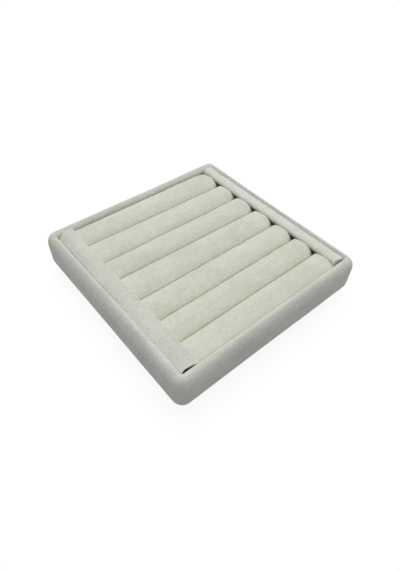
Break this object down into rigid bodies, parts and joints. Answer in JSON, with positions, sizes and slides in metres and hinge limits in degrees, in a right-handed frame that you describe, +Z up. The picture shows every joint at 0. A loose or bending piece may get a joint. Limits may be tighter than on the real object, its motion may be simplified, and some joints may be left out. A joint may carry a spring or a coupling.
{
  "type": "ring display tray",
  "caption": "Square padded tray covered in pale velvet, holding foam ring rolls side by side between end strips; rings stand in the slots between the rolls.",
  "frame": {"origin": "middle of the underside, at the height of the surface that the tray stands on", "axes": "+X to the right along the ring rolls, +Y to the back across them, +Z up"},
  "size_m": [0.17, 0.17, 0.034],
  "materials": {
    "velvet": "short soft pile, matt",
    "foam": "open cell foam, matt",
    "fibreboard": "bare fibreboard",
    "card": "bare grey card",
    "bottom_felt": "thin stiff felt, matt"
  },
  "bodies": {
    "root": {"tray_cover": "velvet", "bottom_sheet": "bottom_felt", "base_board": "fibreboard", "wall_board_front": "fibreboard", "wall_board_back": "fibreboard", "wall_board_left": "fibreboard", "wall_board_right": "fibreboard", "wall_padding_front": "foam", "wall_padding_back": "foam", "wall_padding_left": "foam", "wall_padding_right": "foam", "insert_board": "card", "roll_core_1": "foam", "roll_core_2": "foam", "roll_core_3": "foam", "roll_core_4": "foam", "roll_core_5": "foam", "roll_core_6": "foam", "roll_core_7": "foam", "roll_cover_1": "velvet", "roll_cover_2": "velvet", "roll_cover_3": "velvet", "roll_cover_4": "velvet", "roll_cover_5": "velvet", "roll_cover_6": "velvet", "roll_cover_7": "velvet", "end_strip_core_left": "foam", "end_strip_core_right": "foam", "end_strip_cover_left": "velvet", "end_strip_cover_right": "velvet"}
  },
  "joints": []
}
